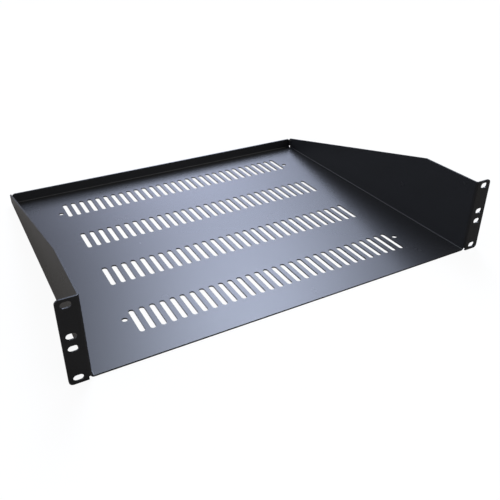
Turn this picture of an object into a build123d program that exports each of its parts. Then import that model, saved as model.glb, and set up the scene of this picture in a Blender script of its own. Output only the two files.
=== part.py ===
from build123d import *
import os

# Vented rack shelf, folded from one steel sheet. All sizes in millimetres.
# The origin is on the underside, midway across and midway between front and back.
# +X is right as seen from the front, +Y is to the rear and +Z is up.

# Rack sizes
rack_unit = 44.45
units_tall = 2
unit_clearance = 0.8  # what the ears leave free of their units
panel_width = 482.6  # over the ears
ear_width = 19.05  # side wall to edge of the ear
ear_hole_inset = 8.75  # middle of the slots to edge of the ear
ear_hole_heights = (6.35, 38.1)  # the two slots in each unit, from its lower edge
ear_slot_length = 9.5
ear_slot_width = 6.5

# Folded sheet
sheet = 1.5
bend_inside = 1.5  # inner radius of every fold
depth = 381.0  # front of the ears to back of the lip
level_top = 79.5  # how far back the side walls keep their full height
back_height = 15.0  # side walls at the back
lip_height = 15.0
lip_gap = 0.6  # open slit between each end of the lip and its side wall
corner_radius = 4.0  # free corners of the ears, the lip and the side walls

# Reliefs that let the folds meet
relief_diameter = 4.0  # round hole under each end of the lip
notch_rise = 1.0  # foot of each ear's fold, above the fold of the floor
notch_margin = 0.5  # how far each notch reaches into the flat of the ear

# Vents and tie-down holes
vent_length = 38.0
vent_width = 6.0
vent_pitch = 11.1125
vents_per_row = 30
vent_rows = 4
vent_row_pitch = 88.9
vent_end_sides = 12  # each round end is half of a polygon, because the vents are many
tie_hole_diameter = 6.35
tie_hole_offset = 9.87  # across, beyond the last vent of a row
tie_hole_reach = 254.0  # front pair to back pair

# Places that follow from the sizes above
panel_height = units_tall * rack_unit - unit_clearance
body_width = panel_width - 2 * ear_width  # over the side walls
ear_hole_span = panel_width - 2 * ear_hole_inset  # left slots to right slots
bend_outside = bend_inside + sheet
bend_middle = bend_inside + sheet / 2
wall_outer = body_width / 2
wall_inner = wall_outer - sheet
wall_middle = wall_outer - sheet / 2
front = -depth / 2
rear = depth / 2
ear_middle = front + sheet / 2
floor_front = front + sheet
ear_fold = front + bend_outside  # where the side walls start to turn into the ears
lip_fold = rear - bend_outside  # where the floor starts to turn up into the lip
notch_top = bend_outside + notch_rise
notch_outer = wall_outer + bend_inside + notch_margin
ear_tip = panel_width / 2
vent_row_span = (vents_per_row - 1) * vent_pitch  # first vent to last vent
tie_hole_span = vent_row_span + 2 * tie_hole_offset


def folded_strip(*path):
    """Section of the sheet, with its middle along the path and each corner folded."""
    return trace(FilletPolyline(*path, radius=bend_middle), line_width=sheet)


def channel():
    """Floor and both side walls as one folded section, front to back."""
    section = folded_strip(
        (-wall_middle, panel_height),
        (-wall_middle, sheet / 2),
        (wall_middle, sheet / 2),
        (wall_middle, panel_height),
    )
    return extrude(Plane.XZ.offset(-rear) * section, amount=depth)


def side_outline():
    """Side view of the channel: level at the ears, then sloping down to the back."""
    outline = Polyline(
        (floor_front, 0),
        (lip_fold, 0),
        (lip_fold, bend_outside),
        (rear, bend_outside),
        (rear, back_height),
        (front + level_top, panel_height),
        (ear_fold, panel_height),
        (ear_fold, bend_outside),
        (floor_front, bend_outside),
        close=True,
    )
    profile = make_face(outline)
    back_corner = profile.vertices().sort_by_distance((rear, back_height, 0))[0]
    profile = fillet(back_corner, corner_radius)
    return extrude(Plane.YZ.offset(-wall_outer) * profile, amount=body_width)


def ear():
    """Right ear, folded outwards from the front of its side wall."""
    start = ear_fold + sheet  # the strip begins inside the side wall, and the outline trims it
    section = folded_strip((wall_middle, start), (wall_middle, ear_middle), (ear_tip, ear_middle))
    blank = extrude(section, amount=panel_height)
    outline = Polyline(
        (wall_inner, notch_top),
        (notch_outer, notch_top),
        (notch_outer, 0),
        (ear_tip, 0),
        (ear_tip, panel_height),
        (wall_inner, panel_height),
        close=True,
    )
    profile = make_face(outline)
    profile = fillet(profile.vertices().group_by(Axis.X)[-1], corner_radius)
    profile -= ear_slots()
    return blank & extrude(Plane.XZ.offset(-ear_fold) * profile, amount=bend_outside)


def ear_slots():
    """Rack screw slots of one ear, long side level."""
    slot = SlotOverall(ear_slot_length, ear_slot_width)
    heights = [
        unit * rack_unit + height - unit_clearance / 2
        for unit in range(units_tall)
        for height in ear_hole_heights
    ]
    return Sketch() + [Pos(ear_hole_span / 2, height) * slot for height in heights]


def lip():
    """Stop along the back of the floor, folded up between the side walls."""
    start = lip_fold - sheet  # the strip begins inside the floor, and the outline trims it
    back = rear - sheet / 2
    section = folded_strip((start, sheet / 2), (back, sheet / 2), (back, lip_height))
    half_length = wall_inner - lip_gap
    blank = extrude(Plane.YZ.offset(-half_length) * section, amount=2 * half_length)
    profile = Pos(0, lip_height / 2) * Rectangle(2 * half_length, lip_height)
    profile = fillet(profile.vertices().group_by(Axis.Y)[-1], corner_radius)
    return blank & extrude(Plane.XZ.offset(-rear) * profile, amount=bend_outside)


def corner_reliefs():
    """Round holes where the folds of the side walls meet the fold of the lip."""
    places = [Pos(side * (wall_outer - bend_outside), lip_fold) for side in (-1, 1)]
    holes = Sketch() + [place * Circle(relief_diameter / 2) for place in places]
    return extrude(holes, amount=bend_outside)


def floor_openings():
    """Rows of vent slots, and the four tie-down holes beside the outer rows."""
    reach = (vent_length - vent_width) / 2
    end = RegularPolygon(vent_width / 2, vent_end_sides)
    vent = Rectangle(vent_width, 2 * reach) + Pos(0, reach) * end + Pos(0, -reach) * end
    vents = GridLocations(vent_pitch, vent_row_pitch, vents_per_row, vent_rows) * vent
    holes = GridLocations(tie_hole_span, tie_hole_reach, 2, 2) * Circle(tie_hole_diameter / 2)
    return extrude(Sketch() + vents + holes, amount=sheet)


def vented_shelf():
    """The whole folded sheet."""
    right_ear = ear()
    shelf = (channel() & side_outline()) + lip() + right_ear + mirror(right_ear, Plane.YZ)
    shelf -= corner_reliefs()
    return shelf - floor_openings()


shelf = vented_shelf()
os.makedirs("parts", exist_ok=True)
export_step(shelf, "parts/vented_shelf.step")
print("solids", len(shelf.solids()), "volume", round(shelf.volume), "size", shelf.bounding_box().size)
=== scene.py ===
import math
import bpy
import numpy as np
from mathutils import Matrix, Vector
from mathutils.geometry import delaunay_2d_cdt


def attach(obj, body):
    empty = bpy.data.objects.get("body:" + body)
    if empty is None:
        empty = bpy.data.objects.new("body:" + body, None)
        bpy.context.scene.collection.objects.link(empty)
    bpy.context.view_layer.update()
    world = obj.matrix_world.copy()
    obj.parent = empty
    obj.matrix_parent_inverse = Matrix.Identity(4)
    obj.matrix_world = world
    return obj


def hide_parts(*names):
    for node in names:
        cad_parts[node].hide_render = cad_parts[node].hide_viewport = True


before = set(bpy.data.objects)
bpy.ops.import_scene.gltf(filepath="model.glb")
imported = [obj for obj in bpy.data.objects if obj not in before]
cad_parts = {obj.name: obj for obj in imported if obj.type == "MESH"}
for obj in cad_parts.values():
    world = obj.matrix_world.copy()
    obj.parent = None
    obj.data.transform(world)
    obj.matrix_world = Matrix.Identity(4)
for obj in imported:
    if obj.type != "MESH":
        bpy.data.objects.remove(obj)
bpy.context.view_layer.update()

print("frame loaded")


class Wire:  # a shader socket that takes Python's operators
    def __init__(self, shader, socket):
        self.shader, self.socket = shader, socket

    def __add__(self, other):
        return self.shader.sum("ADD", self, other)

    def __sub__(self, other):
        return self.shader.sum("SUBTRACT", self, other)

    def __rsub__(self, other):
        return self.shader.sum("SUBTRACT", other, self)

    def __mul__(self, other):
        return self.shader.sum("MULTIPLY", self, other)

    __radd__, __rmul__ = __add__, __mul__


class Shader:  # the node tree of one material or of the world
    def __init__(self, owner):
        owner.use_nodes = True
        self.tree = owner.node_tree
        self.tree.nodes.clear()

    def node(self, kind, settings=None, out=0, **values):
        # the settings come first, then the sockets: _0 is the first one, and Base_Color is Base Color
        made = self.tree.nodes.new("ShaderNode" + kind)
        for name, value in (settings or {}).items():
            setattr(made, name, value)
        for name, value in values.items():
            key = int(name[1:]) if name[0] == "_" else name.replace("_", " ")
            if isinstance(value, Wire):
                self.tree.links.new(value.socket, made.inputs[key])
            else:
                made.inputs[key].default_value = value
        return Wire(self, made.outputs[out]) if made.outputs else None

    def sum(self, operation, a, b):
        return self.node("Math", {"operation": operation}, _0=a, _1=b)


plainWhite = (1, 1, 1, 1)
cameraSet = {
    "place": (-0.29017, -0.58917, 0.36069),  # metres
    "sight": (0.41781, 0.76127, -0.49589),
    "right": (0.87688, -0.48072, 0.00082),
    "framePixels": 500,
    "focalPixels": 592.149,
    "centrePixels": (245.20, 235.62),  # where the line of sight meets the frame, from its top left
    "sensor": 36.0,  # millimetres
    "clip": (0.01, 60.0),  # metres
}


def makeCamera():
    data = bpy.data.cameras.new("studioCamera")
    camera = bpy.data.objects.new("studioCamera", data)
    bpy.context.scene.collection.objects.link(camera)
    size = cameraSet["framePixels"]
    acrossPixels, downPixels = cameraSet["centrePixels"]
    data.sensor_fit = "HORIZONTAL"
    data.sensor_width = cameraSet["sensor"]
    data.lens = cameraSet["focalPixels"] * cameraSet["sensor"] / size
    data.shift_x = 0.5 - acrossPixels / size
    data.shift_y = downPixels / size - 0.5
    data.clip_start, data.clip_end = cameraSet["clip"]
    sight = Vector(cameraSet["sight"]).normalized()
    up = Vector(cameraSet["right"]).cross(sight).normalized()
    right = sight.cross(up)
    turn = Matrix((right, up, -sight)).transposed().to_4x4()
    camera.matrix_world = Matrix.Translation(cameraSet["place"]) @ turn
    bpy.context.scene.camera = camera


makeCamera()
print("camera placed")

coatSet = {
    "colour": (0.021, 0.0215, 0.024),
    "specular": 0.25,
    "roughness": 0.268,
    "roughnessRange": 0.03,  # how far the slow pattern moves it, from lowest to highest
    "cloudScale": 22.0,  # the slow pattern
    "cloudDetail": 3.0,
    "peelScale": 900.0,  # the fine orange peel
    "peelDetail": 2.0,
    "peelHeight": 0.000006,  # metres
}


def powderCoat():
    coat = bpy.data.materials.new("powderCoat")
    s = Shader(coat)
    place = s.node("TexCoord", out="Object")
    peel = s.node("TexNoise", Vector=place, Scale=coatSet["peelScale"], Detail=coatSet["peelDetail"])
    cloud = s.node("TexNoise", Vector=place, Scale=coatSet["cloudScale"], Detail=coatSet["cloudDetail"])
    bump = s.node("Bump", Height=peel, Distance=coatSet["peelHeight"], Strength=1.0)
    rough = coatSet["roughness"] + (cloud - 0.5) * coatSet["roughnessRange"]
    body = s.node(
        "BsdfPrincipled",
        Base_Color=(*coatSet["colour"], 1),
        Roughness=rough,
        Normal=bump,
        Specular_IOR_Level=coatSet["specular"],
    )
    s.node("OutputMaterial", Surface=body)
    return coat


sheetSet = {  # millimetres
    "thickness": 1.66,  # the 1.5 of the steel and the coat on both faces
    "foldInside": 1.34,
    "foldSteps": 8,  # facets in each quarter turn
    "floorFront": -188.9,
    "floorFold": 219.25,  # across, where the floor starts to turn up into the walls
    "lipFold": 187.5,
    "earFold": -187.5,
    "wallTop": 88.1,
    "wallLevelEnd": -111.0,  # the walls slope down from here to the back
    "wallBack": 190.5,
    "wallBackTop": 15.0,
    "lipTop": 15.0,
    "lipEnd": 219.85,
    "earTip": 241.3,
    "notchTop": 3.5,
    "notchSide": 223.8,
    "stepTop": 3.1,  # where the edge of the floor's fold ends and the edge of the wall begins
    "stepSide": 0.1,  # how far short of the lip's and the ears' folds those edges lie
    "reliefReach": 1.05,  # cut at the back corners, into the floor
    "reliefFold": 1.0,  # and into the two folds that meet there
    "freeCorner": 4.0,
    "notchCorner": 0.18,  # the notch's two corners at the wall
    "cutCorner": 0.35,  # other small corners, as the coat softens them
    "cornerSteps": 6,
    "rim": 0.08,  # rounding that the coat gives each cut edge
    "pastTop": 1.0,  # how far the folds' ranges run past the sheet's edges
    "pastStep": 0.2,
    "pastFront": 0.5,
    "pastLip": 0.3,
    "weldReach": 1e-5,  # points nearer than this are one when the blank is made into triangles
}
openingSet = {  # millimetres
    "ventSize": (5.6, 38.0),
    "ventPitch": (11.1125, 88.9),
    "ventCount": (30, 4),
    "ventSteps": 8,  # facets of each round end
    "tieSize": (6.0, 6.0),
    "tieSpan": (342.0, 254.0),
    "tieSteps": 14,
    "earSlotSize": (6.3, 9.3),
    "earSlotAcross": 232.55,
    "earSlotHeights": (5.95, 37.7, 50.4, 82.15),
    "earSlotSteps": 12,
}
perMetre = 1000  # millimetres
foldMiddle = sheetSet["foldInside"] + sheetSet["thickness"] / 2  # radius halfway through the sheet
foldLength = foldMiddle * math.pi / 2
foldTop = sheetSet["foldInside"] + sheetSet["thickness"]  # height at which a fold stands upright


def blankHeight(height):  # where a height on a wall or an ear lies on the flat blank
    return sheetSet["floorFold"] + foldLength + height - foldTop


def blankLip(height):  # where a height on the lip lies on the flat blank
    return sheetSet["lipFold"] + foldLength + height - foldTop


def blankEar(across):  # where a distance across an ear lies on the flat blank
    return sheetSet["earFold"] - foldLength - (across - sheetSet["floorFold"] - 2 * foldMiddle)


def rounded(corners, steps):
    # closed path with an arc at each corner (x, y, radius): from the arc's centre, the radius times
    # a normal that turns evenly from one edge's normal to the next edge's
    spot, radius = corners[:, :2], corners[:, 2, None]
    ahead = np.roll(spot, -1, 0) - spot
    ahead /= np.linalg.norm(ahead, axis=1, keepdims=True)
    after = np.stack([ahead[:, 1], -ahead[:, 0]], 1)
    before = np.roll(after, 1, 0)
    along = (before * after).sum(1)
    turn = np.arctan2(before[:, 0] * after[:, 1] - before[:, 1] * after[:, 0], along)
    reach = radius * np.sign(turn)[:, None]
    centre = spot - reach * (before + after) / (1 + along[:, None])
    angle = np.arctan2(before[:, 1], before[:, 0])[:, None] + turn[:, None] * np.linspace(0, 1, steps + 1)
    normal = np.stack([np.cos(angle), np.sin(angle)], 2)
    path = centre[:, None] + reach[:, None] * normal
    return path.reshape(-1, 2), normal.reshape(-1, 2)


def blankOutline():
    # corners of the flat blank's right half, then the same corners mirrored and in reverse; the three
    # inner corners of a relief are as round as its edges allow
    p = sheetSet
    step, notch = blankHeight(p["stepTop"]), blankHeight(p["notchTop"])
    foot, top = blankHeight(0), blankHeight(p["wallTop"])
    side, back = p["stepSide"], p["wallBack"]
    cut, free = p["cutCorner"], p["freeCorner"]
    reliefSide, reliefFront = p["floorFold"] + p["reliefFold"], p["lipFold"] - p["reliefReach"]
    reliefInner, reliefBack = p["floorFold"] - p["reliefReach"], p["lipFold"] + p["reliefFold"]
    right = np.array([
        (step, p["floorFront"], cut),
        (step, p["earFold"] + side, p["notchCorner"]),
        (notch, p["earFold"] + side, p["notchCorner"]),
        (notch, blankEar(p["notchSide"]), cut),
        (foot, blankEar(p["notchSide"]), cut),
        (foot, blankEar(p["earTip"]), free),
        (top, blankEar(p["earTip"]), free),
        (top, p["wallLevelEnd"], cut),
        (blankHeight(p["wallBackTop"]), back, free),
        (step, back, cut),
        (step, p["lipFold"] - side, cut),
        (reliefSide, p["lipFold"] - side, cut),
        (reliefSide, reliefFront, p["reliefReach"] - 2 * cut - side),
        (reliefInner, reliefFront, p["reliefReach"] - side),
        (reliefInner, reliefBack, p["reliefReach"] - side),
        (p["lipEnd"], reliefBack, cut),
        (p["lipEnd"], blankLip(p["lipTop"]), free),
    ])
    left = right[::-1] * (-1, 1, 1)
    return rounded(np.concatenate([right, left]), p["cornerSteps"])


def foldLimits():
    # where the folds' ranges end on the blank: ahead of the floor's front edge, past the lip's ends,
    # and past the step, from which an ear's fold runs up
    p = sheetSet
    front = p["floorFront"] - p["pastFront"]
    lipReach = p["lipEnd"] + p["pastLip"]
    near = blankHeight(p["stepTop"]) + p["pastStep"]
    return front, lipReach, near


def foldLines():
    # straight lines on the blank, a facet apart in every fold: axis, place, and the range of the other axis
    p = sheetSet
    front, lipReach, near = foldLimits()
    far = blankHeight(p["wallTop"]) + p["pastTop"]
    floor = (front, p["lipFold"] + p["pastLip"])
    step = np.linspace(0, foldLength, p["foldSteps"] + 1)
    wall, lip, ear = p["floorFold"] + step, p["lipFold"] + step, p["earFold"] - step
    families = [
        (0, wall, *floor),
        (0, -wall, *floor),
        (1, lip, -lipReach, lipReach),
        (1, ear, near, far),
        (1, ear, -far, -near),
    ]
    return np.concatenate([
        np.stack([0 * place + axis, place, 0 * place + low, 0 * place + high], 1)
        for axis, place, low, high in families
    ])


def cutByLines(path, normal, lines):
    # a path's two neighbours lie on opposite sides of a line where it crosses, and share the crossing
    # point in proportion to their distances; each line's crossings, in order, are joined in pairs
    axis = lines[:, 0].astype(int)
    near = path[:, axis].T - lines[:, 1, None]
    far = np.roll(near, -1, 1)
    line, start = np.nonzero((near < 0) != (far < 0))
    share = (near[line, start] / (near[line, start] - far[line, start]))[:, None]
    end = (start + 1) % len(path)
    spot = path[start] * (1 - share) + path[end] * share
    facing = normal[start] * (1 - share) + normal[end] * share
    other = spot[np.arange(len(spot)), 1 - axis[line]]
    kept = (other > lines[line, 2]) & (other < lines[line, 3])
    order = np.lexsort((other[kept], line[kept]))
    line, start, share, spot, facing = (a[kept][order] for a in (line, start, share[:, 0], spot, facing))
    place = np.concatenate([np.arange(len(path)), start + share])
    sequence = np.argsort(place, kind="stable")
    rank = np.argsort(sequence)
    joined = rank[len(path):].reshape(-1, 2)
    facing /= np.linalg.norm(facing, axis=1, keepdims=True)
    return np.concatenate([path, spot])[sequence], np.concatenate([normal, facing])[sequence], joined


def openings(size, steps, places):
    # round-ended slots, clockwise: half circles of half the width, moved apart by what the length
    # exceeds the width by
    half = np.linspace(0, math.pi, steps + 1)
    if size[0] == size[1]:
        half = half[:-1]
    angle = -np.concatenate([half, half + math.pi])
    outward = np.stack([np.cos(angle), np.sin(angle)], 1)
    apart = np.repeat([-0.5, 0.5], len(half)) * (size[1] - size[0])
    loop = outward * size[0] / 2 + np.stack([0 * apart, apart], 1)
    places = np.asarray(places)
    return list(places[:, None] + loop), [-outward] * len(places)


def spread(span, count):  # evenly spaced places, centred on nought
    across, along = (np.linspace(-0.5, 0.5, n) * s for s, n in zip(span, count))
    return np.stack(np.meshgrid(across, along), 2).reshape(-1, 2)


def folded(flat, lift):
    # the flat blank bent: past each fold line the distance beyond it turns through a quarter circle and
    # then runs on straight, and the lift is added along the sheet's own normal
    p = sheetSet
    front, lipReach, near = foldLimits()
    u, v = flat[:, 0], flat[:, 1]
    side, out = np.sign(u), np.abs(u)
    lip = (v > p["lipFold"]) & (out < lipReach)
    ear = (v < p["earFold"]) & ((out > near) | (v < front))
    beyond = np.select([lip, ear], [v - p["lipFold"], p["earFold"] - v], out - p["floorFold"])
    angle = np.clip(beyond / foldMiddle, 0, math.pi / 2)
    run = foldMiddle * np.sin(angle)
    turned = foldMiddle * (1 - np.cos(angle)) + np.clip(beyond - foldLength, 0, None)
    nought, sine, cosine = 0 * u, np.sin(angle), np.cos(angle)
    half = p["thickness"] / 2
    wallPlane = p["floorFold"] + foldMiddle

    def pick(onWall, onLip, onEar):
        return np.stack([np.where(lip, b, np.where(ear, c, a)) for a, b, c in zip(onWall, onLip, onEar)], 1)

    middle = pick(
        (side * (np.minimum(out, p["floorFold"]) + run), v, half + turned),
        (u, p["lipFold"] + run, half + turned),
        (side * (wallPlane + turned), p["earFold"] - run, out - blankHeight(0)),
    )
    alongU = pick((cosine, nought, side * sine), (nought + 1, nought, nought), (nought, nought, side))
    alongV = pick((nought, nought + 1, nought), (nought, cosine, sine), (-side * sine, cosine, nought))
    normal = pick((-side * sine, nought, cosine), (nought, -sine, cosine), (-side * cosine, -sine, nought))
    return middle + lift * normal, alongU, alongV, normal


def foldedShelf():
    p, o = sheetSet, openingSet
    outline, facing, joined = cutByLines(*blankOutline(), foldLines())
    ventSpan = [(n - 1) * pitch for n, pitch in zip(o["ventCount"], o["ventPitch"])]
    slotPlaces = [
        (side * blankHeight(height), blankEar(o["earSlotAcross"]))
        for side in (-1, 1)
        for height in o["earSlotHeights"]
    ]
    holes = [
        openings(o["ventSize"], o["ventSteps"], spread(ventSpan, o["ventCount"])),
        openings(o["tieSize"], o["tieSteps"], spread(o["tieSpan"], (2, 2))),
        openings(o["earSlotSize"], o["earSlotSteps"], slotPlaces),
    ]
    loops = [outline] + [loop for paths, _ in holes for loop in paths]
    flat = np.concatenate(loops)
    facing = np.concatenate([facing] + [normal for _, normals in holes for normal in normals])
    sizes = np.array([len(loop) for loop in loops])
    owner = np.repeat(np.arange(len(loops)), sizes)
    first = np.concatenate([[0], np.cumsum(sizes)[:-1]])
    here = np.arange(len(flat))
    ahead = first[owner] + (here - first[owner] + 1) % sizes[owner]

    edges = np.concatenate([np.stack([here, ahead], 1), joined]).tolist()
    withinOutline = 1  # of the kinds of result, the one with no triangles outside the outline
    _, _, faces, source, _, _ = delaunay_2d_cdt(flat.tolist(), edges, [], withinOutline, p["weldReach"])
    source = np.array([same[0] for same in source])
    skin = source[np.array(faces)]
    own = owner[skin]
    skin = skin[~((own[:, 0] > 0) & (own == own[:, :1]).all(1))]  # the rest span an opening

    half, rim, count = p["thickness"] / 2, p["rim"], len(flat)
    rows = ((rim, half), (0, half - rim), (0, rim - half), (rim, -half))  # inset and lift, from face to face
    points, normals = [], []
    for inset, lift in rows:
        spot, alongU, alongV, up = folded(flat - inset * facing, lift)
        points.append(spot)
        edge = facing[:, :1] * alongU + facing[:, 1:] * alongV
        normals.append(up * np.sign(lift) if inset else edge)
    bands = [
        np.stack([here + low, here + low + count, ahead + low + count, ahead + low], 1)
        for low in range(0, (len(rows) - 1) * count, count)
    ]
    quads = np.concatenate(bands).tolist()
    triangles = np.concatenate([skin, skin[:, ::-1] + (len(rows) - 1) * count]).tolist()
    mesh = bpy.data.meshes.new("foldedShelf")
    mesh.from_pydata(np.concatenate(points) / perMetre, [], triangles + quads)
    mesh.shade_smooth()
    mesh.normals_split_custom_set_from_vertices(np.concatenate(normals))
    shelf = bpy.data.objects.new("foldedShelf", mesh)
    bpy.context.scene.collection.objects.link(shelf)
    mesh.materials.append(powderCoat())
    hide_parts("vented_shelf")
    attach(shelf, "root")
    return shelf


shelf = foldedShelf()
print("sheet folded:", len(shelf.data.vertices), "points,", len(shelf.data.polygons), "faces")

groundSet = {
    "reach": 9.0,  # metres, each way from the middle
    "drop": 0.00005,  # below the underside of the shelf
    "seenColour": (0.85, 0.85, 0.85),  # to the camera, where the shadow shows
    "seenGlow": 0.93,  # share of plain white in what the camera sees
    "dullColour": (0.13, 0.118, 0.1),  # to everything else
    "mirroredGlow": 0.08,  # share of the warm glow in what gloss and glass see
    "mirroredColour": (1.0, 0.93, 0.85),
}


def makeGround():
    reach = groundSet["reach"]
    corners = [(-reach, -reach), (reach, -reach), (reach, reach), (-reach, reach)]
    mesh = bpy.data.meshes.new("ground")
    mesh.from_pydata([(x, y, -groundSet["drop"]) for x, y in corners], [], [(0, 1, 2, 3)])
    ground = bpy.data.objects.new("ground", mesh)
    bpy.context.scene.collection.objects.link(ground)
    paper = bpy.data.materials.new("groundPaper")
    s = Shader(paper)
    camera = s.node("LightPath", out="Is Camera Ray")
    glossy = s.node("LightPath", out="Is Glossy Ray")
    through = s.node("LightPath", out="Is Transmission Ray")
    pale = s.node("BsdfDiffuse", Color=(*groundSet["seenColour"], 1))
    dull = s.node("BsdfDiffuse", Color=(*groundSet["dullColour"], 1))
    white = s.node("Emission", Color=plainWhite, Strength=1.0)
    warm = s.node("Emission", Color=(*groundSet["mirroredColour"], 1), Strength=1.0)
    seen = s.node("MixShader", _0=groundSet["seenGlow"], _1=pale, _2=white)
    mirrored = s.node("MixShader", _0=(glossy + through) * groundSet["mirroredGlow"], _1=dull, _2=warm)
    both = s.node("MixShader", _0=camera, _1=mirrored, _2=seen)
    s.node("OutputMaterial", Surface=both)
    mesh.materials.append(paper)


makeGround()
print("ground laid")

lightSet = {
    "dim": 0.02,  # strength of the world all round
    "glows": {  # soft round lights on the world, their places and spreads in degrees
        "softboxLower": {
            "azimuth": 30, "elevation": 40, "spread": 7.5,
            "strength": 19.0, "tint": (0.69, 0.765, 1.0),
        },
        "softboxUpper": {
            "azimuth": 30, "elevation": 52, "spread": 8.5,
            "strength": 13.2, "tint": (0.75, 0.84, 1.0),
        },
        "lowLamp": {
            "azimuth": 20, "elevation": 15, "spread": 7,
            "strength": 8.0, "tint": (0.68, 0.74, 1.0),
        },
        "leftFill": {
            "azimuth": -60, "elevation": 30, "spread": 25,
            "strength": 2.2, "tint": (0.84, 0.89, 1.0),
        },
        "rightFill": {
            "azimuth": 130, "elevation": 45, "spread": 25,
            "strength": 0.9, "tint": (1.0, 0.94, 0.8),
        },
        "frontFill": {
            "azimuth": 158, "elevation": 24, "spread": 10,
            "strength": 2.8, "tint": (0.88, 0.92, 1.0),
        },
    },
}


def lightWorld():
    world = bpy.data.worlds.new("studio")
    bpy.context.scene.world = world
    s = Shader(world)
    sight = s.node("TexCoord", out="Generated")
    whole = s.node("Background", Color=plainWhite, Strength=lightSet["dim"])
    for glow in lightSet["glows"].values():
        # strength times the exponential of the cosine from the glow's middle, less one, over its
        # spread squared
        az, el = math.radians(glow["azimuth"]), math.radians(glow["elevation"])
        toward = (math.sin(az) * math.cos(el), math.cos(az) * math.cos(el), math.sin(el))
        along = s.node("VectorMath", {"operation": "DOT_PRODUCT"}, out="Value", _0=sight, _1=toward)
        sharp = 1 / math.radians(glow["spread"]) ** 2
        lobe = s.node("Math", {"operation": "EXPONENT"}, _0=(along - 1.0) * sharp)
        lit = s.node("Background", Color=(*glow["tint"], 1), Strength=lobe * glow["strength"])
        whole = s.node("AddShader", _0=whole, _1=lit)
    camera = s.node("LightPath", out="Is Camera Ray")
    white = s.node("Background", Color=plainWhite, Strength=1.0)
    seen = s.node("MixShader", _0=camera, _1=whole, _2=white)
    s.node("OutputWorld", Surface=seen)


lightWorld()
print("world lit")
bpy.context.scene.view_settings.view_transform = "Standard"
